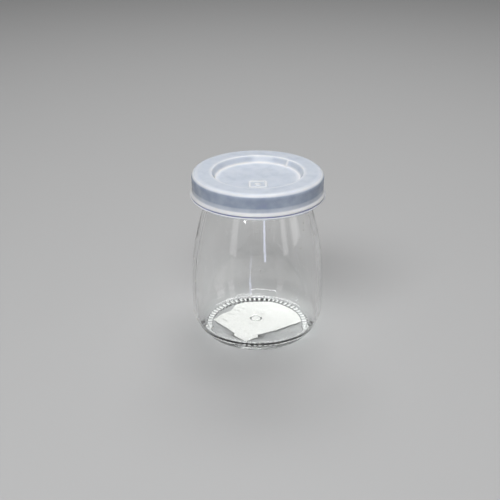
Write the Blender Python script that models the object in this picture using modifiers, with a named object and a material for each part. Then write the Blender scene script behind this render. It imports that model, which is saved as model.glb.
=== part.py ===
"""Glass pudding jar with a translucent press-on lid and a torn paper label under its base.

Blender 4.5. Metres, +Z up. The origin is in the middle of the base, on the surface that
the jar stands on, and +Z is the jar's axis. Sizes below are in millimetres times MM.

The jar and the lid are turned shapes: a closed profile in the XZ plane, given as (radius,
height) points that run down its outer side, and a Screw modifier.
"""
import math
import random

import bmesh
import bpy

MM = 0.001
TURN_STEPS_JAR = 64
TURN_STEPS_LID = 52

# Clear space between two pieces that touch.
GAP = 0.3 * MM

# Jar: outside.
BELLY_RADIUS = 30.1 * MM
HEEL_TOP = 11.6 * MM
HEEL_REACH_OUT = 3.1 * MM
HEEL_REACH_DOWN = 3.2 * MM
SHOULDER_REACH_UP = 28.1 * MM
NECK_RADIUS = 22.9 * MM
NECK_HEIGHT = 66.4 * MM
NECK_SLOPE = 0.264
SHOULDER_REACH_DOWN = 25.6 * MM
THROAT_RADIUS = 22.5 * MM
THROAT_HEIGHT = 68.4 * MM

# Jar: the solid glass bead round the mouth, which the lid snaps over.
BEAD_RADIUS = 28.0 * MM
BEAD_BOTTOM = 71.2 * MM
BEAD_ROUNDING = 1.1 * MM
JAR_HEIGHT = 75.9 * MM
MOUTH_RADIUS = 22.3 * MM

# Jar: walls and floor.
WALL = 2.25 * MM
FLOOR_TOP = 3.5 * MM
FLOOR_RADIUS = 22.0 * MM
INNER_HEEL_TOP = 11.3 * MM
INNER_HEEL_REACH_OUT = 3.7 * MM
INNER_HEEL_REACH_DOWN = 4.8 * MM

# Jar: the knurled ring that it stands on, and the push-up inside that ring.
BEARING_OUTER = 23.3 * MM
BEARING_INNER = 20.9 * MM
PUSH_UP_EDGE = 1.15 * MM
PUSH_UP_CENTRE = 1.5 * MM
KNURLS = 60
KNURL_HEIGHT = 0.3 * MM
KNURL_LENGTH = 1.9 * MM
KNURL_WIDTH = 1.2 * MM
KNURL_CHAMFER = 0.18 * MM

# Lid.
LID_HEIGHT = 77.2 * MM
LID_WALL = 1.0 * MM
LID_RADIUS = 29.35 * MM
LID_EDGE_ROUNDING = 2.1 * MM
SKIRT_TAPER = 0.12 * MM
SKIRT_BOTTOM = 69.5 * MM
FLANGE_RADIUS = 30.25 * MM
FLANGE_BOTTOM = 66.36 * MM
RECESS_RIM_RADIUS = 20.35 * MM
RECESS_FLOOR_RADIUS = 18.7 * MM
RECESS_DEPTH = 2.95 * MM
RECESS_FILLET = 0.45 * MM
SNAP_RADIUS = 27.6 * MM
SNAP_HEIGHT = 70.1 * MM
PANEL_SIZE = 8.0 * MM
PANEL_OFFSET = 8.6 * MM
PANEL_HEIGHT = 0.2 * MM

# Paper label, flat under the push-up.
LABEL_THICKNESS = 0.2 * MM
LABEL_REACH = 20.5 * MM
LABEL_SEED = 7
LABEL_CUT_WAVE = 0.08 * MM
LABEL_TORN_WAVE = 0.35 * MM
LABEL_STEP = 2.2 * MM

CIRCLE_HANDLE = 0.5523


def clear_scene():
    for thing in list(bpy.context.scene.objects):
        bpy.data.objects.remove(thing, do_unlink=True)


def make_collection(name):
    collection = bpy.data.collections.new(name)
    bpy.context.scene.collection.children.link(collection)
    return collection


def make_material(name, colour, roughness, transmission=0.0, ior=1.5):
    material = bpy.data.materials.new(name)
    material.use_nodes = True
    shader = material.node_tree.nodes["Principled BSDF"]
    shader.inputs["Base Color"].default_value = (*colour, 1.0)
    shader.inputs["Roughness"].default_value = roughness
    shader.inputs["Metallic"].default_value = 0.0
    shader.inputs["Transmission Weight"].default_value = transmission
    shader.inputs["IOR"].default_value = ior
    return material


def add_curve(profile, handle_a, handle_b, end, segments):
    """Continue a profile with a cubic Bezier curve from its last point."""
    start = profile[-1]
    for step in range(1, segments + 1):
        t = step / segments
        s = 1.0 - t
        radius, height = (
            s**3 * a + 3 * s * s * t * b + 3 * s * t * t * c + t**3 * d
            for a, b, c, d in zip(start, handle_a, handle_b, end)
        )
        profile.append((radius, height))


def add_corner(profile, corner, end, segments):
    """Continue a profile round a corner, with a curve close to a circle's arc."""
    start = profile[-1]
    handle_a = tuple(a + CIRCLE_HANDLE * (c - a) for a, c in zip(start, corner))
    handle_b = tuple(b + CIRCLE_HANDLE * (c - b) for b, c in zip(end, corner))
    add_curve(profile, handle_a, handle_b, end, segments)


def towards(point, target, distance):
    """The point that lies the given distance from point on the way to target."""
    along = math.dist(point, target)
    return tuple(a + (b - a) * distance / along for a, b in zip(point, target))


def jar_inner_profile():
    """From the middle of the floor, up the inner wall, to the top of the lip."""
    inner_belly = BELLY_RADIUS - WALL
    inner_neck = NECK_RADIUS - WALL * 1.03
    inner_throat = THROAT_RADIUS - WALL
    profile = [(0.0, FLOOR_TOP)]
    profile.append((FLOOR_RADIUS, FLOOR_TOP))
    heel_out = (FLOOR_RADIUS + INNER_HEEL_REACH_OUT, FLOOR_TOP)
    heel_up = (inner_belly, INNER_HEEL_TOP - INNER_HEEL_REACH_DOWN)
    add_curve(profile, heel_out, heel_up, (inner_belly, INNER_HEEL_TOP), 7)
    belly_handle = (inner_belly, HEEL_TOP + SHOULDER_REACH_UP)
    neck_handle = (inner_neck + NECK_SLOPE * SHOULDER_REACH_DOWN, NECK_HEIGHT - SHOULDER_REACH_DOWN)
    add_curve(profile, belly_handle, neck_handle, (inner_neck, NECK_HEIGHT), 8)
    throat_top = (MOUTH_RADIUS, JAR_HEIGHT - 2.6 * MM)
    throat_handle = (inner_throat - 0.4 * MM, THROAT_HEIGHT)
    add_curve(profile, throat_handle, (MOUTH_RADIUS, BEAD_BOTTOM - MM), throat_top, 4)
    profile.append((MOUTH_RADIUS, JAR_HEIGHT - BEAD_ROUNDING))
    lip_start = (MOUTH_RADIUS + BEAD_ROUNDING, JAR_HEIGHT)
    add_corner(profile, (MOUTH_RADIUS, JAR_HEIGHT), lip_start, 3)
    return profile


def jar_profile():
    """The whole section of the jar, without its knurls."""
    profile = jar_inner_profile()
    profile.append((BEAD_RADIUS - BEAD_ROUNDING, JAR_HEIGHT))
    bead_side_top = (BEAD_RADIUS, JAR_HEIGHT - BEAD_ROUNDING)
    add_corner(profile, (BEAD_RADIUS, JAR_HEIGHT), bead_side_top, 4)
    profile.append((BEAD_RADIUS, BEAD_BOTTOM + BEAD_ROUNDING))
    bead_under = (BEAD_RADIUS - BEAD_ROUNDING, BEAD_BOTTOM)
    add_corner(profile, (BEAD_RADIUS, BEAD_BOTTOM), bead_under, 3)
    profile.append((THROAT_RADIUS + 2.4 * MM, BEAD_BOTTOM - 0.2 * MM))
    throat = (THROAT_RADIUS, THROAT_HEIGHT)
    add_corner(profile, (THROAT_RADIUS, BEAD_BOTTOM - 0.2 * MM), throat, 4)
    profile.append((NECK_RADIUS, NECK_HEIGHT))
    neck_handle = (NECK_RADIUS + NECK_SLOPE * SHOULDER_REACH_DOWN, NECK_HEIGHT - SHOULDER_REACH_DOWN)
    belly_handle = (BELLY_RADIUS, HEEL_TOP + SHOULDER_REACH_UP)
    add_curve(profile, neck_handle, belly_handle, (BELLY_RADIUS, HEEL_TOP), 10)
    heel_handle = (BELLY_RADIUS, HEEL_TOP - HEEL_REACH_DOWN)
    foot_handle = (BEARING_OUTER + HEEL_REACH_OUT, KNURL_HEIGHT)
    add_curve(profile, heel_handle, foot_handle, (BEARING_OUTER, KNURL_HEIGHT), 8)
    profile.append((BEARING_INNER, KNURL_HEIGHT))
    profile.append((BEARING_INNER - 0.1 * MM, PUSH_UP_EDGE))
    profile.append((BEARING_INNER * 0.5, PUSH_UP_CENTRE - 0.1 * MM))
    profile.append((0.0, PUSH_UP_CENTRE))
    return profile


def lid_recess(floor_height, floor_radius, rim_height, rim_radius, outwards):
    """The floor, sloping wall and rim of the lid's sunk middle, from the axis outwards."""
    foot = (floor_radius, floor_height)
    rim = (rim_radius, rim_height)
    profile = [(0.0, floor_height)]
    profile.append((floor_radius - RECESS_FILLET, floor_height))
    add_corner(profile, foot, towards(foot, rim, RECESS_FILLET), 2)
    profile.append(towards(rim, foot, RECESS_FILLET))
    add_corner(profile, rim, (rim_radius + RECESS_FILLET, rim_height), 2)
    return profile if outwards else profile[::-1]


def lid_profile():
    """The whole section of the lid: its top, skirt and flange, then its underside."""
    skirt_foot = LID_RADIUS - SKIRT_TAPER
    recess_floor = LID_HEIGHT - RECESS_DEPTH
    profile = lid_recess(recess_floor, RECESS_FLOOR_RADIUS, LID_HEIGHT, RECESS_RIM_RADIUS, True)
    profile.append((LID_RADIUS - LID_EDGE_ROUNDING, LID_HEIGHT))
    edge = (LID_RADIUS, LID_HEIGHT - LID_EDGE_ROUNDING)
    add_corner(profile, (LID_RADIUS, LID_HEIGHT), edge, 5)
    profile.append((skirt_foot, SKIRT_BOTTOM))
    # The skirt flares out to a shoulder, a fine groove and a round bead at the rim.
    shoulder = (FLANGE_RADIUS - 0.32 * MM, FLANGE_BOTTOM + 1.35 * MM)
    flare_in = (skirt_foot, SKIRT_BOTTOM - 1.2 * MM)
    flare_out = (skirt_foot + 0.25 * MM, shoulder[1] + 0.4 * MM)
    add_curve(profile, flare_in, flare_out, shoulder, 4)
    profile.append((FLANGE_RADIUS - 0.5 * MM, FLANGE_BOTTOM + 1.12 * MM))
    profile.append((FLANGE_RADIUS - 0.3 * MM, FLANGE_BOTTOM + 0.92 * MM))
    rim_side = (FLANGE_RADIUS, FLANGE_BOTTOM + 0.6 * MM)
    add_corner(profile, (FLANGE_RADIUS, FLANGE_BOTTOM + 0.92 * MM), rim_side, 2)
    rim_foot = (FLANGE_RADIUS - 0.45 * MM, FLANGE_BOTTOM)
    add_corner(profile, (FLANGE_RADIUS, FLANGE_BOTTOM), rim_foot, 3)
    # Inside: up the flare, over the snap bead, and up the skirt.
    inner_skirt = LID_RADIUS - LID_WALL
    profile.append((FLANGE_RADIUS - 1.0 * MM, FLANGE_BOTTOM + 0.15 * MM))
    snap_foot = (inner_skirt, SNAP_HEIGHT - 0.9 * MM)
    snap_head = (inner_skirt, SNAP_HEIGHT + 0.9 * MM)
    add_curve(profile, (FLANGE_RADIUS - 1.2 * MM, FLANGE_BOTTOM + 1.4 * MM), snap_foot, snap_foot, 3)
    snap = (SNAP_RADIUS, SNAP_HEIGHT)
    add_curve(profile, (snap_foot[0] - 0.1 * MM, snap_foot[1] + 0.3 * MM), (snap[0], snap[1] - 0.4 * MM), snap, 2)
    add_curve(profile, (snap[0], snap[1] + 0.4 * MM), (snap_head[0] - 0.1 * MM, snap_head[1] - 0.3 * MM), snap_head, 2)
    ceiling = LID_HEIGHT - LID_WALL
    inner_edge = LID_EDGE_ROUNDING / 2
    profile.append((inner_skirt, ceiling - inner_edge))
    add_corner(profile, (inner_skirt, ceiling), (inner_skirt - inner_edge, ceiling), 3)
    plug_floor = recess_floor - LID_WALL
    profile += lid_recess(plug_floor, RECESS_FLOOR_RADIUS + 0.55 * MM, ceiling, RECESS_RIM_RADIUS + 0.9 * MM, False)
    return profile


def turn(name, profile, steps, collection, material):
    """A solid of revolution about +Z, from a profile that starts and ends on the axis."""
    mesh = bpy.data.meshes.new(name)
    edges = [(i, i + 1) for i in range(len(profile) - 1)]
    mesh.from_pydata([(radius, 0.0, height) for radius, height in profile], edges, [])
    solid = bpy.data.objects.new(name, mesh)
    collection.objects.link(solid)
    mesh.materials.append(material)
    screw = solid.modifiers.new("turn", "SCREW")
    screw.axis = "Z"
    screw.angle = math.tau
    screw.steps = steps
    screw.render_steps = steps
    screw.use_merge_vertices = True
    screw.merge_threshold = 0.00001
    screw.use_smooth_shade = True
    return solid


def block(name, size, location, rotation_z, collection):
    """A box of the given size, standing on location, turned about +Z."""
    mesh = bpy.data.meshes.new(name)
    shape = bmesh.new()
    bmesh.ops.create_cube(shape, size=1.0)
    bmesh.ops.scale(shape, vec=size, verts=shape.verts)
    shape.to_mesh(mesh)
    shape.free()
    box = bpy.data.objects.new(name, mesh)
    box.location = location
    box.rotation_euler.z = rotation_z
    collection.objects.link(box)
    return box


def add_tool(target, tools, operation):
    """Join or cut a whole collection of solids with the target."""
    boolean = target.modifiers.new(tools.name, "BOOLEAN")
    boolean.operand_type = "COLLECTION"
    boolean.collection = tools
    boolean.operation = operation
    boolean.solver = "EXACT"


def as_guide(thing):
    thing.hide_render = True
    thing.display_type = "WIRE"


def make_knurls(collection):
    """Short radial bars on the bearing ring; their lower edges are chamfered."""
    middle = (BEARING_OUTER + BEARING_INNER) / 2
    sunk = 0.3 * MM
    height = KNURL_HEIGHT + sunk
    for index in range(KNURLS):
        angle = math.tau * index / KNURLS
        place = (middle * math.cos(angle), middle * math.sin(angle), height / 2)
        knurl = block(f"knurl_{index:02d}", (KNURL_LENGTH, KNURL_WIDTH, height), place, angle, collection)
        shape = bmesh.new()
        shape.from_mesh(knurl.data)
        foot_edges = [edge for edge in shape.edges if all(vert.co.z < 0 for vert in edge.verts)]
        bmesh.ops.bevel(shape, geom=foot_edges, offset=KNURL_CHAMFER, segments=1, affect="EDGES")
        shape.to_mesh(knurl.data)
        shape.free()
        as_guide(knurl)


def make_jar(collection, tools):
    glass = make_material("clear_glass", (0.96, 0.97, 0.97), 0.02, transmission=1.0, ior=1.52)
    jar = turn("jar", jar_profile(), TURN_STEPS_JAR, collection, glass)
    make_knurls(tools)
    add_tool(jar, tools, "UNION")
    return jar


def make_lid(collection, tools):
    plastic = make_material("milky_plastic", (0.78, 0.82, 0.87), 0.35, transmission=0.3, ior=1.5)
    lid = turn("lid", lid_profile(), TURN_STEPS_LID, collection, plastic)
    floor = LID_HEIGHT - RECESS_DEPTH
    thickness = 0.5 * MM + PANEL_HEIGHT
    place = (0.0, -PANEL_OFFSET, floor + PANEL_HEIGHT - thickness / 2)
    panel = block("lid_panel", (PANEL_SIZE, PANEL_SIZE, thickness), place, 0.0, tools)
    as_guide(panel)
    add_tool(lid, tools, "UNION")
    return lid


def label_outline():
    """The label's edge: two cut sides, an arc along the ring, and a torn side, in order."""
    cut, torn = LABEL_CUT_WAVE, LABEL_TORN_WAVE
    corners = [
        ((-20.3, 1.5), cut),
        ((-14.3, -5.2), cut),
        ((-10.4, -10.6), cut),
        ((-5.2, -18.7), cut),
        ((-1.8, -14.6), cut),
        ((3.4, -10.9), cut),
        ((9.6, -7.0), cut),
        ((20.2, 0.9), cut),
        ((19.6, 4.6), cut),
        ((17.8, 8.3), cut),
        ((15.2, 12.3), cut),
        ((11.6, 16.0), cut),
        ((7.0, 18.9), cut),
        ((3.6, 19.6), torn),
        ((1.9, 18.4), torn),
        ((0.4, 19.7), torn),
        ((-4.6, 18.9), torn),
        ((-8.4, 17.2), torn),
        ((-11.2, 14.4), torn),
        ((-12.2, 11.8), torn),
        ((-15.3, 9.9), torn),
        ((-17.0, 7.1), torn),
        ((-19.0, 3.7), torn),
    ]
    draw = random.Random(LABEL_SEED)
    outline = []
    for (start, wave), (end, _) in zip(corners, corners[1:] + corners[:1]):
        start = [value * MM for value in start]
        end = [value * MM for value in end]
        length = math.dist(start, end)
        pieces = max(1, round(length / LABEL_STEP))
        across = (-(end[1] - start[1]) / length, (end[0] - start[0]) / length)
        for piece in range(pieces):
            t = piece / pieces
            shift = draw.uniform(-wave, wave) if piece else 0.0
            point = [a + (b - a) * t + n * shift for a, b, n in zip(start, end, across)]
            reach = math.hypot(*point)
            scale = min(1.0, LABEL_REACH / reach)
            outline.append((point[0] * scale, point[1] * scale))
    return outline


def make_label(collection):
    paper = make_material("white_paper", (0.93, 0.93, 0.92), 0.85)
    curve = bpy.data.curves.new("base_label", "CURVE")
    curve.dimensions = "2D"
    curve.fill_mode = "BOTH"
    curve.extrude = LABEL_THICKNESS / 2
    outline = label_outline()
    spline = curve.splines.new("POLY")
    spline.points.add(len(outline) - 1)
    for point, (x, y) in zip(spline.points, outline):
        point.co = (x, y, 0.0, 1.0)
    spline.use_cyclic_u = True
    curve.materials.append(paper)
    label = bpy.data.objects.new("base_label", curve)
    label.location.z = PUSH_UP_EDGE - GAP - LABEL_THICKNESS / 2
    collection.objects.link(label)
    return label


def main():
    clear_scene()
    parts = make_collection("pudding_jar")
    knurl_tools = make_collection("jar_knurls")
    panel_tools = make_collection("lid_panel")
    make_jar(parts, knurl_tools)
    make_lid(parts, panel_tools)
    make_label(parts)


main()
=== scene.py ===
"""Looks for the glass pudding jar: clear glass, a milky press-on lid and a torn paper label.

Blender 4.5. Every size is in metres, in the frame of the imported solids: +Z up, the origin in
the middle of the base. The overall sizes are read from the frame, and the rest are named
values in millimetres times MM. A reach is the length of a Bezier handle.
"""
import math
import random

import bmesh
import bpy
from mathutils import Matrix, Vector, noise


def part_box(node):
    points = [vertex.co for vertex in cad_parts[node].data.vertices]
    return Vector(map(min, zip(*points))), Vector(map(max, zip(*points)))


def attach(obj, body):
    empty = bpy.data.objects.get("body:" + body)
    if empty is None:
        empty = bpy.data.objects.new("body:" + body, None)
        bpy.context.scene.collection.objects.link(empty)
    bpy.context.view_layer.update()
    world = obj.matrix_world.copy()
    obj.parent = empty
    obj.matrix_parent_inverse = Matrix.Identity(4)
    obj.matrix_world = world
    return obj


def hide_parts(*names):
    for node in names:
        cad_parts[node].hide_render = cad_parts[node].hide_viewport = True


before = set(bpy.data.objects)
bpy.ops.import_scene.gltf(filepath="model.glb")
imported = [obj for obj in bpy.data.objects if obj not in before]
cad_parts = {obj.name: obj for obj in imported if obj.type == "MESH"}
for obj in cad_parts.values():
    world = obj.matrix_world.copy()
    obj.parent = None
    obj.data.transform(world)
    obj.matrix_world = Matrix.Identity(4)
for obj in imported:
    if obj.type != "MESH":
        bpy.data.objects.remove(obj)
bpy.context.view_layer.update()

MM = 0.001
ROOT = "root"

_, JAR_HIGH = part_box("jar")
LID_LOW, LID_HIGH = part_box("lid")

# A curve round a corner is close to a circle's arc with handles of this share of its legs.
CIRCLE_HANDLE = 0.5523

# Jar: outside. The belly is as wide as the solid.
BELLY_RADIUS = JAR_HIGH.x
JAR_HEIGHT = JAR_HIGH.z
HEEL_TOP = 11.6 * MM
HEEL_REACH_OUT = 3.1 * MM
HEEL_REACH_DOWN = 3.2 * MM
SHOULDER_REACH_UP = 28.1 * MM
SHOULDER_REACH_DOWN = 25.6 * MM
NECK_RADIUS = 22.9 * MM
NECK_HEIGHT = 66.4 * MM
NECK_SLOPE = 0.264
NECK_REACH_UP = 0.6 * MM
THROAT_RADIUS = 22.5 * MM
THROAT_HEIGHT = 68.4 * MM
THROAT_REACH_DOWN = 0.7 * MM
# From the neck, the curve up to the throat sets out for this point.
NECK_TARGET = (THROAT_RADIUS, NECK_HEIGHT + 1.5 * MM)

# Jar: the solid glass bead round the mouth, the slope under it, and the straight mouth.
BEAD_RADIUS = 28.0 * MM
BEAD_BOTTOM = JAR_HEIGHT - 4.7 * MM
BEAD_ROUNDING = 1.1 * MM
BEAD_SLOPE_RADIUS = THROAT_RADIUS + 2.4 * MM
BEAD_SLOPE_BOTTOM = BEAD_BOTTOM - 0.2 * MM
MOUTH_RADIUS = 22.3 * MM
MOUTH_BOTTOM = JAR_HEIGHT - 2.6 * MM
MOUTH_REACH_DOWN = 3.1 * MM

# Jar: walls and floor. The neck slopes, so its wall is a little wider when measured level, and
# the inner wall bends in a little more at the throat.
WALL = 2.25 * MM
NECK_WALL = 1.03 * WALL
THROAT_PINCH = 0.4 * MM
FLOOR_TOP = 3.5 * MM
FLOOR_RADIUS = 22.0 * MM
INNER_HEEL_TOP = 11.3 * MM
INNER_HEEL_REACH_OUT = 3.7 * MM
INNER_HEEL_REACH_DOWN = 4.8 * MM

# Jar: the bearing ring, and the push-up inside it.
BEARING_OUTER = 23.3 * MM
BEARING_INNER = 20.95 * MM
STEP_ROUNDING = 0.2 * MM
PUSH_UP_EDGE = 1.15 * MM
PUSH_UP_CENTRE = 1.5 * MM
PUSH_UP_REACH = 5.0 * MM

# Jar: the knurls, bars across the bearing ring that run out on the heel. The stops are where
# the mesh has points, and the crest is half of the flat back, both as shares of the pitch. The
# bars' ends are scuffed white up to the worn depth, a white that also stands as painted glints
# on them, and edges past SHARP_ANGLE are shaded sharp.
KNURLS = 60
KNURL_HEIGHT = 0.5 * MM
KNURL_STOPS = (0.0, 0.15, 0.3, 0.4, 0.5, 0.6, 0.7, 0.85)
KNURL_CREST = 0.2
KNURL_INSET = 0.2 * MM
KNURL_REACH = 24.3 * MM
KNURL_RUN_OUT = 0.7 * MM
WORN_AND_GLINT_DEPTH = 0.12 * MM
SHARP_ANGLE = math.radians(30)

# Jar: the small unevenness of moulded glass, stretched upwards. Inside it sets in with the
# radius, outside with the height, and both fade out between two shares of the jar's height.
WAVE_HEIGHT_SHARE = 0.6
INNER_WAVE = 0.07 * MM
INNER_WAVE_LENGTH = 14 * MM
INNER_WAVE_SEED = 3.0
INNER_WAVE_START = 12 * MM
INNER_WAVE_FADE = (0.9, 1.0)
OUTER_WAVE = 0.035 * MM
OUTER_WAVE_LENGTH = 9 * MM
OUTER_WAVE_SEED = 11.0
OUTER_WAVE_START = 6 * MM
OUTER_WAVE_FADE = (0.86, 0.9)

# Jar: two mould seams, and the ring mark under the base.
SEAM_ANGLE = math.radians(20)
SEAM_HEIGHT = 0.04 * MM
SEAM_WIDTH = 0.35 * MM
MARK_CENTRE = (-0.6 * MM, 2.7 * MM)
MARK_RADIUS = 2.45 * MM
MARK_HEIGHT = 0.4 * MM
MARK_WIDTH = 0.27 * MM

# Lid: top, sunk middle and skirt.
LID_STEPS = 360
LID_HEIGHT = LID_HIGH.z
LID_WALL = 1.0 * MM
LID_RADIUS = 29.35 * MM
LID_EDGE_ROUNDING = 2.1 * MM
RECESS_RIM_RADIUS = 20.35 * MM
RECESS_FLOOR_RADIUS = 18.7 * MM
RECESS_DEPTH = 2.95 * MM
RECESS_FILLET = 0.45 * MM
SKIRT_TAPER = 0.12 * MM
SKIRT_BOTTOM = 70.6 * MM
SKIRT_REACH_DOWN = 0.6 * MM

# Lid: the flange. From the skirt down come a flare, a ridge, a groove and the rim.
FLANGE_RADIUS = LID_HIGH.x
FLANGE_BOTTOM = LID_LOW.z
FLARE_RADIUS = 29.4 * MM
FLARE_HEIGHT = 69.0 * MM
FLARE_REACH_UP = 0.5 * MM
FLARE_REACH_DOWN = 0.35 * MM
RIDGE_RADIUS = 30.05 * MM
RIDGE_HEIGHT = 68.1 * MM
RIDGE_REACH_UP = 0.35 * MM
RIDGE_TAPER = 0.05 * MM
RIDGE_REACH_DOWN = 0.2 * MM
GROOVE_RADIUS = 29.75 * MM
GROOVE_HEIGHT = 67.4 * MM
RIDGE_FOOT_HEIGHT = GROOVE_HEIGHT + 0.3 * MM
GROOVE_REACH_UP = 0.15 * MM
GROOVE_REACH_DOWN = 0.2 * MM
RIM_HEIGHT = 67.0 * MM
RIM_EDGE = 0.2 * MM
RIM_EDGE_DROP = 0.25 * MM
RIM_REACH_IN = 0.2 * MM
RIM_FOOT = 0.45 * MM

# Lid: inside. The snap bead reaches SNAP_HALF up and down from its middle, and hooks under the
# glass bead.
INNER_FOOT = (FLANGE_RADIUS - 1.0 * MM, FLANGE_BOTTOM + 0.15 * MM)
INNER_FLARE = (FLANGE_RADIUS - 1.2 * MM, FLANGE_BOTTOM + 1.4 * MM)
SNAP_RADIUS = 27.6 * MM
SNAP_HEIGHT = 70.1 * MM
SNAP_HALF = 0.9 * MM
SNAP_REACH = 0.4 * MM
SNAP_START = (0.1 * MM, 0.3 * MM)
UNDER_FLOOR_RADIUS = RECESS_FLOOR_RADIUS + 0.55 * MM
UNDER_RIM_RADIUS = RECESS_RIM_RADIUS + 0.9 * MM

# Lid: how pale the plastic looks, with light and shade painted in. The tones hold painted
# highlights along the fillets and rim of the sunk middle, the rounding of the top edge and the
# flange's rim, a painted shadow in the groove, and painted shade on the skirt for the dark seen
# through it. The ridge and flare are pale partly because the plastic is thick there and partly
# as painted light where they face up. The tones by radius hold above TOP_TONES_BOTTOM and in the
# sunk middle, out to TOP_TONES_REACH, and the tones by height hold below. A soft cloudiness
# shifts them by up to half of CLOUD_SHARE either way.
TOP_TONES_BOTTOM = LID_HEIGHT - 0.1 * LID_EDGE_ROUNDING
TOP_TONES_REACH = RECESS_RIM_RADIUS + MM
LID_TOP_TONES_PAINTED_LIGHT = (
    (RECESS_FLOOR_RADIUS - 0.8 * MM, 0.5), (RECESS_FLOOR_RADIUS - 0.25 * MM, 1.0),
    (RECESS_FLOOR_RADIUS + 0.15 * MM, 1.0), (RECESS_FLOOR_RADIUS + 0.5 * MM, 0.5),
    (RECESS_RIM_RADIUS - 0.35 * MM, 0.5), (RECESS_RIM_RADIUS, 0.82),
    (RECESS_RIM_RADIUS + 0.3 * MM, 0.8), (RECESS_RIM_RADIUS + 0.9 * MM, 0.5),
    (LID_RADIUS - LID_EDGE_ROUNDING - 0.3 * MM, 0.5), (LID_RADIUS - LID_EDGE_ROUNDING, 0.6),
)
LID_SIDE_TONES_PAINTED_LIGHT = (
    (RIM_HEIGHT, 1.0), (GROOVE_HEIGHT - 0.12 * MM, 0.0), (GROOVE_HEIGHT + 0.2 * MM, 0.0),
    (GROOVE_HEIGHT + 0.5 * MM, 1.0), (FLARE_HEIGHT, 1.0), (FLARE_HEIGHT + 0.4 * MM, 0.5),
    (SKIRT_BOTTOM, 0.45), (SKIRT_BOTTOM + 0.4 * MM, 0.25),
    (LID_HEIGHT - 0.6 * LID_EDGE_ROUNDING, 0.25), (LID_HEIGHT - 0.35 * LID_EDGE_ROUNDING, 0.85),
    (TOP_TONES_BOTTOM, 0.8), (LID_HEIGHT, 0.6),
)
UNDERSIDE_TONE = 0.5
PANEL_TONE = 0.85
CLOUD_SHARE = 0.3

# Lid: the rib across the sunk wall, and the panel, whose foot lies PANEL_SINK under the sunk floor.
RIB_ANGLE = math.radians(46)
RIB_WIDTH = 1.1 * MM
RIB_HEIGHT = 0.3 * MM
RIB_START = (RECESS_FLOOR_RADIUS - 0.4 * MM, RECESS_FLOOR_RADIUS + 0.2 * MM)
RIB_END = (RECESS_RIM_RADIUS, RECESS_RIM_RADIUS + 0.5 * MM)
PANEL_SIZE = 8.4 * MM
PANEL_OFFSET = 8.6 * MM
PANEL_HEIGHT = 0.3 * MM
PANEL_SINK = 0.15 * MM
PANEL_SLOPE = 0.25 * MM
PANEL_BORDER = 1.3 * MM
PANEL_CORNER = 1.6 * MM
PANEL_DISC = 1.5 * MM

# Label: its corners in millimetres, in order round the edge. Each list holds the corners from
# which that kind of edge sets out. LABEL_REACH clips the corners that lie past it to an arc.
LABEL_CUT_CORNERS = (
    (-20.7, 1.3), (-14.0, -5.9), (-10.4, -10.8), (-8.9, -12.6), (-5.0, -18.2), (-2.2, -13.6),
    (0.1, -12.6), (4.7, -10.0), (8.0, -8.4), (20.7, 0.1), (21.5, 6.0), (19.5, 12.0),
    (14.5, 17.5), (9.5, 20.5),
)
LABEL_TORN_CORNERS = (
    (4.9, 20.2), (3.2, 19.3), (1.4, 18.8), (-0.2, 20.0), (-3.2, 19.7), (-6.4, 18.6),
    (-8.6, 17.5), (-10.4, 15.8), (-11.9, 12.9), (-12.3, 10.9), (-16.0, 8.0), (-17.7, 5.7),
)
LABEL_THICKNESS = 0.1 * MM
LABEL_TOP = 0.92 * MM
LABEL_REACH = 20.7 * MM
LABEL_SEED = 7
LABEL_STEP = 0.7 * MM
LABEL_CUT_WAVE = 0.06 * MM
LABEL_TORN_WAVE = 0.3 * MM
LABEL_GRID = 0.5 * MM

# Label: fine wrinkles all over, and a few short creases, from end to end in millimetres. Along the
# creases the paper is painted darker by CREASE_SHADE, as painted shade.
WRINKLE_HEIGHT = 0.05 * MM
WRINKLE_LENGTH = 2.6 * MM
FINE_WRINKLE_LENGTH = 1.1 * MM
FINE_WRINKLE_SHARE = 0.5
CREASES = (
    ((-12.4, 11.7), (-8.2, 10.1)), ((-9.8, 13.9), (-6.0, 12.0)), ((-14.8, 7.8), (-10.0, 6.1)),
    ((-1.0, 9.6), (4.1, 6.5)), ((-16.8, 2.9), (-13.4, -1.0)),
)
CREASE_HEIGHT = 0.128 * MM
CREASE_WIDTH = 0.4 * MM
CREASE_SHADE = 0.7

# Dust on the outside of the glass. A bias below 1 puts more of it low down.
DUST_COUNT = 280
DUST_SEED = 3
DUST_BIAS = 0.8
DUST_LOWEST = 2 * MM
DUST_SIZES = (0.08 * MM, 0.28 * MM)
DUST_WIDTHS = (0.6, 1.0)
DUST_FLATNESS = 0.35

# Stage: the floor lies a little under the jar, so that no two faces share a plane.
FLOOR_GAP = 0.03 * MM
FLOOR_REACH = 12.0

# Stage: softboxes, as name, azimuth and elevation in degrees, distance and size in metres,
# power in watts and colour.
WHITE = (1.0, 1.0, 1.0)
BLUISH = (0.70, 0.76, 1.0)
SOFTBOXES = (
    ("back_top", 180, 52, 0.9, (0.5, 0.3), 2.2, WHITE),
    ("top", 150, 78, 0.8, (0.3, 0.3), 2.0, WHITE),
    ("front_top", -16, 48, 0.9, (0.7, 0.28), 5.6, WHITE),
    ("strip_front", 13, 10, 0.9, (0.06, 0.5), 0.42, BLUISH),
    ("strip_right", 78, 8, 0.8, (0.25, 0.5), 0.5, WHITE),
    ("strip_side", 52, 10, 0.9, (0.16, 0.45), 0.3, WHITE),
    ("strip_left", -46, 12, 0.9, (0.2, 0.45), 0.32, WHITE),
    ("catch_left", -26, 7, 0.9, (0.06, 0.003), 0.015, WHITE),
)

# Camera, as the photograph was taken.
CAMERA_PLACE = Vector((-3.4, -423.1, 234.3)) * MM
CAMERA_PITCH = math.radians(24.79)
CAMERA_FOCAL_PIXELS = 1021.4
PHOTO_PIXELS = 500
SENSOR_WIDTH = 36.0


# ---------------------------------------------------------------- profiles

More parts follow.
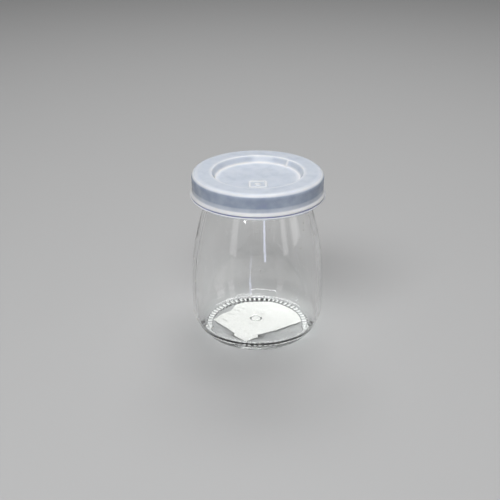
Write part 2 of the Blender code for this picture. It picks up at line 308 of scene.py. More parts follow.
def add_curve(profile, handle_a, handle_b, end, segments):
    """Continue a profile with a cubic Bezier curve from its last point."""
    start = profile[-1]
    for step in range(1, segments + 1):
        t = step / segments
        s = 1.0 - t
        profile.append(tuple(
            s**3 * a + 3 * s * s * t * b + 3 * s * t * t * c + t**3 * d
            for a, b, c, d in zip(start, handle_a, handle_b, end)
        ))


def add_line(profile, end, segments):
    """Continue a profile with a straight line in equal steps."""
    start = profile[-1]
    for step in range(1, segments + 1):
        t = step / segments
        profile.append(tuple(a + (b - a) * t for a, b in zip(start, end)))


def add_corner(profile, corner, end, segments):
    """Continue a profile round a corner, with a curve close to a circle's arc."""
    start = profile[-1]
    handle_a = tuple(a + CIRCLE_HANDLE * (c - a) for a, c in zip(start, corner))
    handle_b = tuple(b + CIRCLE_HANDLE * (c - b) for b, c in zip(end, corner))
    add_curve(profile, handle_a, handle_b, end, segments)


def towards(point, target, distance):
    """The point that lies the given distance from point on the way to target."""
    along = math.dist(point, target)
    return tuple(a + (b - a) * distance / along for a, b in zip(point, target))


def moved(point, out, up):
    """The point that lies out from the axis and up from the given one."""
    return (point[0] + out, point[1] + up)


def jar_inner_profile():
    """From the middle of the floor, up the inner wall, to the top of the lip."""
    inner_belly = BELLY_RADIUS - WALL
    inner_neck = NECK_RADIUS - NECK_WALL
    profile = [(0.0, FLOOR_TOP)]
    add_line(profile, (FLOOR_RADIUS, FLOOR_TOP), 10)
    heel_out = (FLOOR_RADIUS + INNER_HEEL_REACH_OUT, FLOOR_TOP)
    heel_up = (inner_belly, INNER_HEEL_TOP - INNER_HEEL_REACH_DOWN)
    add_curve(profile, heel_out, heel_up, (inner_belly, INNER_HEEL_TOP), 22)
    belly_handle = (inner_belly, HEEL_TOP + SHOULDER_REACH_UP)
    neck_handle = (inner_neck + NECK_SLOPE * SHOULDER_REACH_DOWN, NECK_HEIGHT - SHOULDER_REACH_DOWN)
    add_curve(profile, belly_handle, neck_handle, (inner_neck, NECK_HEIGHT), 20)
    throat_handle = (THROAT_RADIUS - WALL - THROAT_PINCH, THROAT_HEIGHT)
    mouth_handle = (MOUTH_RADIUS, MOUTH_BOTTOM - MOUTH_REACH_DOWN)
    add_curve(profile, throat_handle, mouth_handle, (MOUTH_RADIUS, MOUTH_BOTTOM), 8)
    add_line(profile, (MOUTH_RADIUS, JAR_HEIGHT - BEAD_ROUNDING), 2)
    lip_start = (MOUTH_RADIUS + BEAD_ROUNDING, JAR_HEIGHT)
    add_corner(profile, (MOUTH_RADIUS, JAR_HEIGHT), lip_start, 6)
    return profile


def jar_outer_profile():
    """From the outer edge of the lip, down to the outer edge of the bearing ring."""
    profile = [(BEAD_RADIUS - BEAD_ROUNDING, JAR_HEIGHT)]
    bead_side_top = (BEAD_RADIUS, JAR_HEIGHT - BEAD_ROUNDING)
    add_corner(profile, (BEAD_RADIUS, JAR_HEIGHT), bead_side_top, 6)
    add_line(profile, (BEAD_RADIUS, BEAD_BOTTOM + BEAD_ROUNDING), 2)
    bead_under = (BEAD_RADIUS - BEAD_ROUNDING, BEAD_BOTTOM)
    add_corner(profile, (BEAD_RADIUS, BEAD_BOTTOM), bead_under, 6)
    add_line(profile, (BEAD_SLOPE_RADIUS, BEAD_SLOPE_BOTTOM), 2)
    throat = (THROAT_RADIUS, THROAT_HEIGHT)
    add_corner(profile, (THROAT_RADIUS, BEAD_SLOPE_BOTTOM), throat, 10)
    neck = (NECK_RADIUS, NECK_HEIGHT)
    throat_handle = moved(throat, 0.0, -THROAT_REACH_DOWN)
    add_curve(profile, throat_handle, towards(neck, NECK_TARGET, NECK_REACH_UP), neck, 4)
    neck_handle = moved(neck, NECK_SLOPE * SHOULDER_REACH_DOWN, -SHOULDER_REACH_DOWN)
    belly_handle = (BELLY_RADIUS, HEEL_TOP + SHOULDER_REACH_UP)
    add_curve(profile, neck_handle, belly_handle, (BELLY_RADIUS, HEEL_TOP), 24)
    heel_handle = (BELLY_RADIUS, HEEL_TOP - HEEL_REACH_DOWN)
    foot_handle = (BEARING_OUTER + HEEL_REACH_OUT, KNURL_HEIGHT)
    add_curve(profile, heel_handle, foot_handle, (BEARING_OUTER, KNURL_HEIGHT), 22)
    return profile


def jar_base_profile():
    """From the bearing ring, under the base, to the middle of the push-up."""
    profile = [(BEARING_OUTER, KNURL_HEIGHT)]
    add_line(profile, (BEARING_INNER, KNURL_HEIGHT), 10)
    add_line(profile, (BEARING_INNER, PUSH_UP_EDGE - STEP_ROUNDING), 1)
    step_top = (BEARING_INNER - STEP_ROUNDING, PUSH_UP_EDGE)
    add_corner(profile, (BEARING_INNER, PUSH_UP_EDGE), step_top, 4)
    centre = (0.0, PUSH_UP_CENTRE)
    mark_reach = MARK_RADIUS + 2 * MARK_WIDTH + math.hypot(*MARK_CENTRE)
    share = mark_reach / step_top[0]
    mark_edge = (mark_reach, PUSH_UP_CENTRE + (PUSH_UP_EDGE - PUSH_UP_CENTRE) * share**2)
    step_handle = towards(step_top, centre, PUSH_UP_REACH)
    add_curve(profile, step_handle, towards(mark_edge, step_top, PUSH_UP_REACH), mark_edge, 8)
    add_line(profile, centre, 36)
    return profile


def lid_recess(floor_height, floor_radius, rim_height, rim_radius):
    """The floor, sloping wall and rim of the lid's sunk middle, from the axis outwards."""
    foot = (floor_radius, floor_height)
    rim = (rim_radius, rim_height)
    profile = [(0.0, floor_height)]
    add_line(profile, (floor_radius - RECESS_FILLET, floor_height), 12)
    add_corner(profile, foot, towards(foot, rim, RECESS_FILLET), 6)
    add_line(profile, towards(rim, foot, RECESS_FILLET), 4)
    add_corner(profile, rim, (rim_radius + RECESS_FILLET, rim_height), 6)
    return profile


def add_flange(profile):
    """Continue the lid from the foot of its skirt, down the outside of the flange."""
    flare = (FLARE_RADIUS, FLARE_HEIGHT)
    ridge = (RIDGE_RADIUS, RIDGE_HEIGHT)
    ridge_foot = (RIDGE_RADIUS - RIDGE_TAPER, RIDGE_FOOT_HEIGHT)
    groove = (GROOVE_RADIUS, GROOVE_HEIGHT)
    rim_top = (FLANGE_RADIUS - RIM_EDGE, RIM_HEIGHT)
    skirt_handle = moved(profile[-1], 0.0, -SKIRT_REACH_DOWN)
    add_curve(profile, skirt_handle, towards(flare, ridge, -FLARE_REACH_UP), flare, 8)
    flare_handle = towards(flare, ridge, FLARE_REACH_DOWN)
    add_curve(profile, flare_handle, moved(ridge, 0.0, RIDGE_REACH_UP), ridge, 8)
    add_line(profile, ridge_foot, 2)
    ridge_handle = moved(ridge_foot, 0.0, -RIDGE_REACH_DOWN)
    add_curve(profile, ridge_handle, moved(groove, 0.0, GROOVE_REACH_UP), groove, 5)
    groove_handle = moved(groove, 0.0, -GROOVE_REACH_DOWN)
    add_curve(profile, groove_handle, moved(rim_top, -RIM_REACH_IN, 0.0), rim_top, 5)
    add_corner(profile, (FLANGE_RADIUS, RIM_HEIGHT), (FLANGE_RADIUS, RIM_HEIGHT - RIM_EDGE_DROP), 5)
    add_corner(profile, (FLANGE_RADIUS, FLANGE_BOTTOM), (FLANGE_RADIUS - RIM_FOOT, FLANGE_BOTTOM), 6)


def add_inside(profile):
    """Continue the lid from the rim's foot, up past the snap bead, to the axis."""
    inner_skirt = LID_RADIUS - LID_WALL
    snap = (SNAP_RADIUS, SNAP_HEIGHT)
    snap_foot = (inner_skirt, SNAP_HEIGHT - SNAP_HALF)
    snap_head = (inner_skirt, SNAP_HEIGHT + SNAP_HALF)
    snap_in, snap_up = SNAP_START
    add_line(profile, INNER_FOOT, 2)
    add_curve(profile, INNER_FLARE, snap_foot, snap_foot, 8)
    foot_handle = moved(snap_foot, -snap_in, snap_up)
    add_curve(profile, foot_handle, moved(snap, 0.0, -SNAP_REACH), snap, 6)
    head_handle = moved(snap_head, -snap_in, -snap_up)
    add_curve(profile, moved(snap, 0.0, SNAP_REACH), head_handle, snap_head, 6)
    ceiling = LID_HEIGHT - LID_WALL
    inner_edge = LID_EDGE_ROUNDING / 2
    add_line(profile, (inner_skirt, ceiling - inner_edge), 4)
    add_corner(profile, (inner_skirt, ceiling), (inner_skirt - inner_edge, ceiling), 6)
    under_floor = LID_HEIGHT - RECESS_DEPTH - LID_WALL
    profile += lid_recess(under_floor, UNDER_FLOOR_RADIUS, ceiling, UNDER_RIM_RADIUS)[::-1]


def lid_profile():
    """The whole section of the lid: its top, skirt and flange, then its underside."""
    profile = lid_recess(
        LID_HEIGHT - RECESS_DEPTH, RECESS_FLOOR_RADIUS, LID_HEIGHT, RECESS_RIM_RADIUS
    )
    add_line(profile, (LID_RADIUS - LID_EDGE_ROUNDING, LID_HEIGHT), 6)
    edge = (LID_RADIUS, LID_HEIGHT - LID_EDGE_ROUNDING)
    add_corner(profile, (LID_RADIUS, LID_HEIGHT), edge, 12)
    add_line(profile, (LID_RADIUS - SKIRT_TAPER, SKIRT_BOTTOM), 6)
    add_flange(profile)
    add_inside(profile)
    return profile


# ---------------------------------------------------------------- meshes

def grid_faces(rows, columns):
    """Faces of a turned shape whose first and last profile points are poles."""
    faces = []
    first_ring = 1
    last_ring = 1 + (rows - 3) * columns
    far_pole = 1 + (rows - 2) * columns
    for c in range(columns):
        following = (c + 1) % columns
        faces.append((0, first_ring + c, first_ring + following))
        faces.append((far_pole, last_ring + following, last_ring + c))
    for r in range(rows - 3):
        low = first_ring + r * columns
        high = low + columns
        for c in range(columns):
            following = (c + 1) % columns
            faces.append((low + c, high + c, high + following, low + following))
    return faces


def turned_piece(name, profile, angles, relief):
    """A turned solid. relief(radius, height, angle, index) gives moved (radius, height)."""
    verts = [(0.0, 0.0, profile[0][1])]
    for index, (radius, height) in enumerate(profile[1:-1], start=1):
        for angle in angles:
            r, z = relief(radius, height, angle, index)
            verts.append((r * math.cos(angle), r * math.sin(angle), z))
    verts.append((0.0, 0.0, profile[-1][1]))
    mesh = bpy.data.meshes.new(name)
    mesh.from_pydata(verts, [], grid_faces(len(profile), len(angles)))
    mesh.update()
    shape = bmesh.new()
    shape.from_mesh(mesh)
    bmesh.ops.recalc_face_normals(shape, faces=shape.faces)
    shape.to_mesh(mesh)
    shape.free()
    mesh.shade_smooth()
    piece = bpy.data.objects.new(name, mesh)
    bpy.context.scene.collection.objects.link(piece)
    return piece


def piece_from(shape, name):
    """Turn a finished bmesh into a piece of the scene."""
    mesh = bpy.data.meshes.new(name)
    shape.to_mesh(mesh)
    shape.free()
    piece = bpy.data.objects.new(name, mesh)
    bpy.context.scene.collection.objects.link(piece)
    return piece


def add_tones(piece, tones):
    """Store a number for each point, which the piece's material reads. On the lid and the label it
    carries painted light and shade.
    """
    layer = piece.data.attributes.new("tone_and_painted_light", "FLOAT", "POINT")
    layer.data.foreach_set("value", tones)


def smooth_step(low, high, value):
    """From 0 at low to 1 at high, level at both ends."""
    t = min(1.0, max(0.0, (value - low) / (high - low)))
    return t * t * (3 - 2 * t)


def wave(radius, height, angle, length, seed):
    """Smooth unevenness between about -1 and 1, with no jump all round, stretched upwards."""
    point = Vector((
        math.cos(angle) * radius, math.sin(angle) * radius, height * WAVE_HEIGHT_SHARE
    ))
    return noise.noise(point / length + Vector((seed, seed * 2.0, 0.0)))


def seam(radius, angle):
    """Height of the two mould seams at this angle, from 0 to 1."""
    turn = (angle - SEAM_ANGLE) % math.pi
    away = min(turn, math.pi - turn) * radius
    return math.exp(-((away / SEAM_WIDTH) ** 2))


def knurl(radius, angle):
    """Height of the knurls, from 0 to 1: flat-backed bars with a V between two."""
    away = abs((angle * KNURLS / math.tau) % 1.0 - 0.5)
    across = min(1.0, (0.5 - away) / (0.5 - KNURL_CREST))
    along = smooth_step(BEARING_INNER, BEARING_INNER + KNURL_INSET, radius)
    along *= 1.0 - smooth_step(KNURL_REACH - KNURL_RUN_OUT, KNURL_REACH, radius)
    return across * along


def ring_mark(radius, angle):
    """Height of the ring mark under the base, from 0 to 1."""
    x = radius * math.cos(angle) - MARK_CENTRE[0]
    y = radius * math.sin(angle) - MARK_CENTRE[1]
    away = abs(math.hypot(x, y) - MARK_RADIUS)
    return math.exp(-((away / MARK_WIDTH) ** 2))


def inner_relief(radius, height, angle):
    """The inside of the glass, uneven all over but for the floor's middle and the lip."""
    fade = smooth_step(0.0, INNER_WAVE_START, radius)
    fade *= 1 - smooth_step(*INNER_WAVE_FADE, height / JAR_HEIGHT)
    shift = INNER_WAVE * wave(radius, height, angle, INNER_WAVE_LENGTH, INNER_WAVE_SEED) * fade
    return radius + shift, height + (shift if radius < FLOOR_RADIUS else 0.0)


def outer_relief(radius, height, angle):
    """The outside of the glass. It only dips, so that the belly is no wider than the solid."""
    fade = 1 - smooth_step(*OUTER_WAVE_FADE, height / JAR_HEIGHT)
    fade *= smooth_step(0.0, OUTER_WAVE_START, height)
    dip = wave(radius, height, angle, OUTER_WAVE_LENGTH, OUTER_WAVE_SEED) - 1.0
    shift = OUTER_WAVE * dip * fade
    shift += SEAM_HEIGHT * (seam(radius, angle) - 1.0) * fade
    bar = knurl(radius, angle) if height < 2 * KNURL_HEIGHT else 0.0
    return radius + shift, height - KNURL_HEIGHT * bar


def base_relief(radius, height, angle):
    """The bearing ring with its knurls, and the push-up with its ring mark."""
    if height <= KNURL_HEIGHT:
        return radius, height - KNURL_HEIGHT * knurl(radius, angle)
    return radius, height - MARK_HEIGHT * ring_mark(radius, angle)


def make_jar():
    """The jar, in clear glass, with the ends of the knurls scuffed white, as wear and painted
    glints.
    """
    inner = jar_inner_profile()
    outer = jar_outer_profile()
    profile = inner + outer + jar_base_profile()[1:]
    outer_start = len(inner)
    base_start = len(inner) + len(outer) - 1

    def relief(radius, height, angle, index):
        if index < outer_start:
            return inner_relief(radius, height, angle)
        if index < base_start:
            return outer_relief(radius, height, angle)
        return base_relief(radius, height, angle)

    pitch = math.tau / KNURLS
    angles = [pitch * (bar + stop) for bar in range(KNURLS) for stop in KNURL_STOPS]
    jar = turned_piece("jar_glass", profile, angles, relief)
    jar.data.set_sharp_from_angle(angle=SHARP_ANGLE)
    jar.data.materials.append(glass_material())
    jar.data.materials.append(knurl_wear_and_glint_material())
    # The knurls' ends take the scuffed white, which is also painted glint.
    for face in jar.data.polygons:
        face.material_index = 1 if face.center.z < WORN_AND_GLINT_DEPTH else 0
    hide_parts("jar")
    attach(jar, ROOT)
    return jar


def make_dust():
    """Tiny flat specks of dust on the outside of the glass, more of them low down."""
    outline = [point for point in jar_outer_profile() if DUST_LOWEST < point[1] < FLANGE_BOTTOM]
    draw = random.Random(DUST_SEED)
    shape = bmesh.new()
    for _ in range(DUST_COUNT):
        step = int(draw.random() ** DUST_BIAS * (len(outline) - 1))
        share = draw.random()
        (r0, z0), (r1, z1) = outline[step], outline[step + 1]
        radius = r0 + (r1 - r0) * share
        height = z0 + (z1 - z0) * share
        angle = draw.uniform(0.0, math.tau)
        out = Vector((math.cos(angle), math.sin(angle), 0.0))
        size = draw.uniform(*DUST_SIZES)
        place = Matrix.Translation(out * radius + Vector((0.0, 0.0, height)))
        facing = out.to_track_quat("Z", "Y").to_matrix().to_4x4()
        width = size * draw.uniform(*DUST_WIDTHS)
        spread = Matrix.Diagonal((size, width, size * DUST_FLATNESS, 1.0))
        bmesh.ops.create_icosphere(shape, subdivisions=1, radius=1.0, matrix=place @ facing @ spread)
    dust = piece_from(shape, "glass_dust")
    dust.data.materials.append(dust_material())
    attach(dust, ROOT)
    return dust


def rib(radius, angle):
    """Height of the small rib across the sloping wall of the lid's recess, from 0 to 1."""
    away = math.remainder(angle - RIB_ANGLE, math.tau) * radius
    on_wall = smooth_step(*RIB_START, radius) * (1 - smooth_step(*RIB_END, radius))
    return math.exp(-((away / RIB_WIDTH) ** 2)) * on_wall


def between(stops, value):
    """The height of a broken line through the stops, (position, height) pairs, at a position."""
    for (low, start), (high, end) in zip(stops, stops[1:]):
        if value <= high:
            share = max(0.0, (value - low) / (high - low))
            return start + (end - start) * share
    return stops[-1][1]


def lid_tone_painted_light(radius, height):
    """How pale the milky plastic looks, with light and shade painted in: from 0 for the painted
    shadow in the groove to 1 for the painted highlight lines and the thick ridge.
    """
    if height > TOP_TONES_BOTTOM or radius < TOP_TONES_REACH:
        return between(LID_TOP_TONES_PAINTED_LIGHT, radius)
    return between(LID_SIDE_TONES_PAINTED_LIGHT, height)


def make_lid():
    """The lid, in milky plastic, with the rib across its sunk wall. Its tones carry painted
    highlights and painted shade.
    """
    profile = lid_profile()
    edge = max(range(len(profile)), key=lambda index: profile[index][0])
    angles = [math.tau * step / LID_STEPS for step in range(LID_STEPS)]

    def relief(radius, height, angle, index):
        if index > edge:
            return radius, height
        return radius - RIB_HEIGHT * rib(radius, angle), height

    lid = turned_piece("lid_plastic", profile, angles, relief)
    tones = [between(LID_TOP_TONES_PAINTED_LIGHT, 0.0)]
    for index, (radius, height) in enumerate(profile[1:-1], start=1):
        for angle in angles:
            if index > edge:
                tones.append(UNDERSIDE_TONE)
            else:
                # The rib is painted as a bright highlight line.
                tones.append(max(lid_tone_painted_light(radius, height), rib(radius, angle)))
    tones.append(UNDERSIDE_TONE)
    add_tones(lid, tones)
    lid.data.materials.append(plastic_material("milky_plastic"))
    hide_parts("lid")
    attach(lid, ROOT)
    return lid


def rounded_square(half, corner, segments=8):
    """The outline of a square with rounded corners, round its own middle."""
    points = []
    for turn in range(4):
        for step in range(segments + 1):
            angle = math.pi / 2 * (turn + step / segments)
            middle = half - corner
            side_x = middle if turn in (0, 3) else -middle
            side_y = middle if turn in (0, 1) else -middle
            points.append((side_x + corner * math.cos(angle), side_y + corner * math.sin(angle)))
    return points


def ridge_loop(shape, outer, inner, crest, low, high):
    """A closed raised border: up from the outer outline, over the crest, down to the inner."""
    rings = []
    for outline, height in ((outer, low), (crest[0], high), (crest[1], high), (inner, low)):
        rings.append([shape.verts.new((x, y, height)) for x, y in outline])
    count = len(outer)
    for ring, following in zip(rings, rings[1:] + rings[:1]):
        for c in range(count):
            d = (c + 1) % count
            shape.faces.new((ring[c], ring[d], following[d], following[c]))


def make_panel():
    """The raised border with a plain disc in it, on the floor of the lid's recess."""
    floor = LID_HEIGHT - RECESS_DEPTH
    low = floor - PANEL_SINK
    high = floor + PANEL_HEIGHT
    half = PANEL_SIZE / 2
    inner_half = half - PANEL_BORDER
    inner_corner = PANEL_CORNER - PANEL_BORDER
    shape = bmesh.new()
    outer = rounded_square(half, PANEL_CORNER)
    crest_out = rounded_square(half - PANEL_SLOPE, PANEL_CORNER - PANEL_SLOPE)
    crest_in = rounded_square(inner_half + PANEL_SLOPE, inner_corner + PANEL_SLOPE)
    inner = rounded_square(inner_half, inner_corner)
    ridge_loop(shape, outer, inner, (crest_out, crest_in), low, high)
    disc = bmesh.ops.create_cone(
        shape, cap_ends=True, segments=32, radius1=PANEL_DISC, radius2=PANEL_DISC - PANEL_SLOPE,
        depth=high - low,
    )
    bmesh.ops.translate(shape, verts=disc["verts"], vec=(0.0, 0.0, (low + high) / 2))
    bmesh.ops.translate(shape, verts=shape.verts, vec=(0.0, -PANEL_OFFSET, 0.0))
    bmesh.ops.recalc_face_normals(shape, faces=shape.faces)
    panel = piece_from(shape, "lid_panel")
    add_tones(panel, [PANEL_TONE] * len(panel.data.vertices))
    panel.data.materials.append(plastic_material("milky_plastic_panel"))
    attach(panel, ROOT)
    return panel


def label_outline():
    """The label's edge: two cut sides, an arc along the ring, and a torn side, in order."""
    corners = [(corner, LABEL_CUT_WAVE) for corner in LABEL_CUT_CORNERS]
    corners += [(corner, LABEL_TORN_WAVE) for corner in LABEL_TORN_CORNERS]
    draw = random.Random(LABEL_SEED)
    outline = []
    for (start, edge_wave), (end, _) in zip(corners, corners[1:] + corners[:1]):
        start = [value * MM for value in start]
        end = [value * MM for value in end]
        length = math.dist(start, end)
        pieces = max(1, round(length / LABEL_STEP))
        across = (-(end[1] - start[1]) / length, (end[0] - start[0]) / length)
        for piece in range(pieces):
            t = piece / pieces
            shift = draw.uniform(-edge_wave, edge_wave) if piece else 0.0
            point = [a + (b - a) * t + n * shift for a, b, n in zip(start, end, across)]
            scale = min(1.0, LABEL_REACH / math.hypot(*point))
            outline.append((point[0] * scale, point[1] * scale))
    return outline


def crease(x, y):
    """Height of the label's creases, from 0 to 1. Each one runs out at both ends."""
    height = 0.0
    for (ax, ay), (bx, by) in CREASES:
        ax, ay, bx, by = ax * MM, ay * MM, bx * MM, by * MM
        along = ((x - ax) * (bx - ax) + (y - ay) * (by - ay)) / ((bx - ax) ** 2 + (by - ay) ** 2)
        along = min(1.0, max(0.0, along))
        away = math.hypot(x - ax - (bx - ax) * along, y - ay - (by - ay) * along)
        fade = 1.0 - abs(2.0 * along - 1.0) ** 3
        height = max(height, fade * math.exp(-((away / CREASE_WIDTH) ** 2)))
    return height


def paper_height(place):
    """The height of the wrinkled paper at a place on it."""
    wrinkle = noise.noise(place / WRINKLE_LENGTH)
    wrinkle += FINE_WRINKLE_SHARE * noise.noise(place / FINE_WRINKLE_LENGTH)
    return LABEL_TOP + WRINKLE_HEIGHT * wrinkle + CREASE_HEIGHT * crease(place.x, place.y)


def make_label():
    """The paper label, as a thin wrinkled sheet close under the glass."""
    shape = bmesh.new()
    edge = [shape.verts.new((x, y, 0.0)) for x, y in label_outline()]
    shape.faces.new(edge)
    bmesh.ops.triangulate(shape, faces=shape.faces)
    lines = int(LABEL_REACH / LABEL_GRID)
    for normal in ((1.0, 0.0, 0.0), (0.0, 1.0, 0.0)):
        for line in range(-lines, lines + 1):
            place = Vector(normal) * (line * LABEL_GRID)
            whole = shape.verts[:] + shape.edges[:] + shape.faces[:]
            bmesh.ops.bisect_plane(shape, geom=whole, plane_co=place, plane_no=normal)
    for vert in shape.verts:
        vert.co.z = paper_height(vert.co)
    under = bmesh.ops.extrude_face_region(shape, geom=shape.faces[:])
    lowered = [item for item in under["geom"] if isinstance(item, bmesh.types.BMVert)]
    bmesh.ops.translate(shape, verts=lowered, vec=(0.0, 0.0, -LABEL_THICKNESS))
    bmesh.ops.recalc_face_normals(shape, faces=shape.faces)
    label = piece_from(shape, "paper_label")
    # The crease heights are stored as tones, which the paper turns into painted shade.
    add_tones(label, [crease(vert.co.x, vert.co.y) for vert in label.data.vertices])
    label.data.materials.append(paper_material())
    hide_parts("base_label")
    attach(label, ROOT)
    return label


# ---------------------------------------------------------------- materials

def new_material(name, settings):
    """A new material, its node tree, and its main shader with these settings."""
    material = bpy.data.materials.new(name)
    material.use_nodes = True
    tree = material.node_tree
    shader = tree.nodes["Principled BSDF"]
    for socket, value in settings.items():
        shader.inputs[socket].default_value = value
    return material, tree, shader


def add_noise(tree, scale, detail=2.0):
    """Noise in the piece's own coordinates."""
    place = tree.nodes.new("ShaderNodeTexCoord")
    grain = tree.nodes.new("ShaderNodeTexNoise")
    grain.inputs["Scale"].default_value = scale
    grain.inputs["Detail"].default_value = detail
    tree.links.new(place.outputs["Object"], grain.inputs["Vector"])
    return grain.outputs["Fac"]


def add_ramp(tree, value, stops):
    """The colour for a value, from stops of position and colour in order."""
    ramp = tree.nodes.new("ShaderNodeValToRGB")
    elements = ramp.color_ramp.elements
    for element, (position, colour) in zip(elements, (stops[0], stops[-1])):
        element.position = position
        element.color = (*colour, 1.0)
    for position, colour in stops[1:-1]:
        elements.new(position).color = (*colour, 1.0)
    tree.links.new(value, ramp.inputs["Fac"])
    return ramp.outputs["Color"]


def add_bump(tree, value, shader, strength, distance):
    """Fine relief on a shader."""
    bump = tree.nodes.new("ShaderNodeBump")
    bump.inputs["Strength"].default_value = strength
    bump.inputs["Distance"].default_value = distance
    tree.links.new(value, bump.inputs["Height"])
    tree.links.new(bump.outputs["Normal"], shader.inputs["Normal"])


def add_tone(tree):
    """The tones that add_tones stored on the piece."""
    tone_and_painted_light = tree.nodes.new("ShaderNodeAttribute")
    tone_and_painted_light.attribute_name = "tone_and_painted_light"
    return tone_and_painted_light.outputs["Fac"]


def glass_material():
    """Clear glass, faintly rippled and a little green in its depth. Its shadow is a pale one."""
    material, tree, shader = new_material("clear_glass", {
        "Base Color": (1.0, 1.0, 1.0, 1.0), "Roughness": 0.0, "IOR": 1.52,
        "Transmission Weight": 1.0,
    })
    ripple = add_noise(tree, scale=160.0, detail=1.0)
    add_bump(tree, ripple, shader, strength=0.06, distance=0.4 * MM)
    output = tree.nodes["Material Output"]
    absorb = tree.nodes.new("ShaderNodeVolumeAbsorption")
    absorb.inputs["Color"].default_value = (0.89, 0.93, 0.90, 1.0)
    absorb.inputs["Density"].default_value = 14.0
    tree.links.new(absorb.outputs["Volume"], output.inputs["Volume"])
    path = tree.nodes.new("ShaderNodeLightPath")
    clear = tree.nodes.new("ShaderNodeBsdfTransparent")
    clear.inputs["Color"].default_value = (0.93, 0.94, 0.94, 1.0)
    mix = tree.nodes.new("ShaderNodeMixShader")
    tree.links.new(path.outputs["Is Shadow Ray"], mix.inputs["Fac"])
    tree.links.new(shader.outputs["BSDF"], mix.inputs[1])
    tree.links.new(clear.outputs["BSDF"], mix.inputs[2])
    tree.links.new(mix.outputs["Shader"], output.inputs["Surface"])
    return material


def knurl_wear_and_glint_material():
    """The knurls' ends, scuffed white where the jar stands; the white also serves as painted glints.
    """
    material, tree, shader = new_material("knurl_wear_and_painted_glint", {"Roughness": 0.6, "IOR": 1.52})
    scuff = add_noise(tree, scale=1200.0)
    tint = add_ramp(tree, scuff, ((0.35, (0.74, 0.75, 0.74)), (0.65, (0.94, 0.94, 0.92))))
    tree.links.new(tint, shader.inputs["Base Color"])
    return material


def plastic_material(name):
    """Milky plastic. Its tint follows the tones of the piece, a little cloudy, and so carries the
    painted highlights and painted shade that the lid's tones hold.
    """
    material, tree, shader = new_material(name, {
        "Roughness": 0.23, "IOR": 1.51, "Specular IOR Level": 0.2, "Transmission Weight": 0.25,
        "Subsurface Weight": 0.5, "Subsurface Radius": (1.0, 1.05, 1.2),
        "Subsurface Scale": 0.4 * MM,
    })
    cloudy = tree.nodes.new("ShaderNodeMath")
    cloudy.operation = "MULTIPLY_ADD"
    cloudy.inputs[1].default_value = CLOUD_SHARE
    centred = tree.nodes.new("ShaderNodeMath")
    centred.operation = "SUBTRACT"
    centred.inputs[1].default_value = 0.5 * CLOUD_SHARE
    tree.links.new(add_noise(tree, scale=220.0, detail=3.0), cloudy.inputs[0])
    tree.links.new(add_tone(tree), cloudy.inputs[2])
    tree.links.new(cloudy.outputs["Value"], centred.inputs[0])
    # The violet and blue-grey stops are the painted shadow of the groove and the painted shade of
    # the skirt; the palest stop is for painted highlights and the thick ridge.
    tint = add_ramp(tree, centred.outputs["Value"], (
        (0.0, (0.30, 0.28, 0.56)), (0.2, (0.36, 0.42, 0.53)), (0.5, (0.67, 0.72, 0.80)),
        (1.0, (0.96, 0.96, 0.97)),
    ))
    tree.links.new(tint, shader.inputs["Base Color"])
    add_bump(tree, add_noise(tree, scale=1500.0), shader, strength=0.15, distance=0.1 * MM)
    return material


def paper_material():
    """White paper with a fine grain, and painted shade along its creases."""
    material, tree, shader = new_material("white_paper", {"Roughness": 0.9})
    fibre = add_noise(tree, scale=900.0, detail=4.0)
    tint = add_ramp(tree, fibre, ((0.35, (0.82, 0.81, 0.78)), (0.65, (0.90, 0.89, 0.865))))
    shade = tree.nodes.new("ShaderNodeMapRange")
    shade.inputs["To Min"].default_value = 1.0
    shade.inputs["To Max"].default_value = CREASE_SHADE
    darken = tree.nodes.new("ShaderNodeVectorMath")
    darken.operation = "SCALE"
    tree.links.new(add_tone(tree), shade.inputs["Value"])
    tree.links.new(tint, darken.inputs[0])
    tree.links.new(shade.outputs["Result"], darken.inputs["Scale"])
    tree.links.new(darken.outputs["Vector"], shader.inputs["Base Color"])
    add_bump(tree, fibre, shader, strength=0.2, distance=0.1 * MM)
    return material


def dust_material():
    """Mottled brown and pale dust."""
    material, tree, shader = new_material("dust", {"Roughness": 0.7})
    mottle = add_noise(tree, scale=300.0)
    tint = add_ramp(tree, mottle, ((0.4, (0.36, 0.31, 0.22)), (0.6, (0.78, 0.75, 0.66))))
    tree.links.new(tint, shader.inputs["Base Color"])
    return material


# ---------------------------------------------------------------- stage

def make_floor():
    """A plain pale floor, much wider than any view of the jar."""
    shape = bmesh.new()
    bmesh.ops.create_grid(shape, x_segments=1, y_segments=1, size=FLOOR_REACH)
    floor = piece_from(shape, "floor")
    floor.location.z = -FLOOR_GAP
    material, _, _ = new_material("floor_paper", {
        "Base Color": (0.42, 0.42, 0.42, 1.0), "Roughness": 0.8,
    })
    floor.data.materials.append(material)


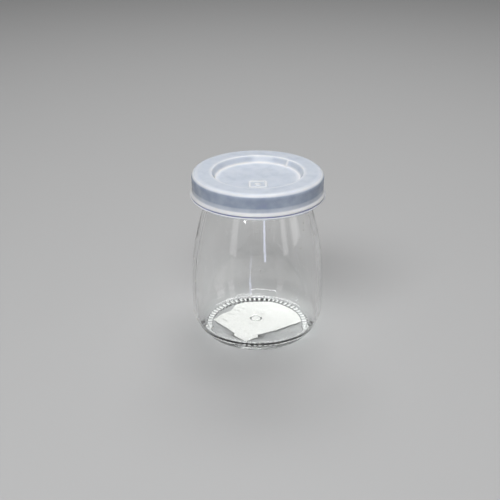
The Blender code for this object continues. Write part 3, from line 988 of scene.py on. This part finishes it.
def make_world():
    """Plain soft studio light from all round, a little darker low down."""
    world = bpy.data.worlds.new("studio")
    bpy.context.scene.world = world
    world.use_nodes = True
    tree = world.node_tree
    background = tree.nodes["Background"]
    background.inputs["Strength"].default_value = 0.17
    place = tree.nodes.new("ShaderNodeTexCoord")
    parts = tree.nodes.new("ShaderNodeSeparateXYZ")
    height = tree.nodes.new("ShaderNodeMapRange")
    height.inputs["From Min"].default_value = -0.1
    height.inputs["From Max"].default_value = 0.8
    tree.links.new(place.outputs["Generated"], parts.inputs["Vector"])
    tree.links.new(parts.outputs["Z"], height.inputs["Value"])
    light = add_ramp(tree, height.outputs["Result"], ((0.0, (0.55, 0.57, 0.60)), (1.0, WHITE)))
    tree.links.new(light, background.inputs["Color"])


def add_softbox(name, azimuth, elevation, distance, size, power, colour):
    """A rectangular lamp that faces the middle of the jar. Azimuth 0 is the camera's side."""
    lamp = bpy.data.lights.new(name, "AREA")
    lamp.shape = "RECTANGLE"
    lamp.size, lamp.size_y = size
    lamp.energy = power
    lamp.color = colour
    holder = bpy.data.objects.new(name, lamp)
    a = math.radians(azimuth)
    e = math.radians(elevation)
    direction = Vector((math.sin(a) * math.cos(e), -math.cos(a) * math.cos(e), math.sin(e)))
    target = Vector((0.0, 0.0, JAR_HEIGHT / 2))
    holder.location = target + direction * distance
    holder.rotation_mode = "QUATERNION"
    holder.rotation_quaternion = (-direction).to_track_quat("-Z", "Y")
    holder.visible_camera = False
    bpy.context.scene.collection.objects.link(holder)


def make_camera():
    """The camera that took the photograph, from in front and above."""
    camera = bpy.data.cameras.new("camera")
    camera.sensor_width = SENSOR_WIDTH
    camera.lens = CAMERA_FOCAL_PIXELS * SENSOR_WIDTH / PHOTO_PIXELS
    holder = bpy.data.objects.new("camera", camera)
    holder.location = CAMERA_PLACE
    holder.rotation_euler = (math.pi / 2 - CAMERA_PITCH, 0.0, 0.0)
    bpy.context.scene.collection.objects.link(holder)
    bpy.context.scene.camera = holder


def main():
    """Set the stage and make each piece."""
    scene = bpy.context.scene
    scene.view_settings.view_transform = "Standard"
    make_camera()
    make_world()
    for softbox in SOFTBOXES:
        add_softbox(*softbox)
    make_floor()
    make_jar()
    make_lid()
    make_panel()
    make_label()
    make_dust()


main()
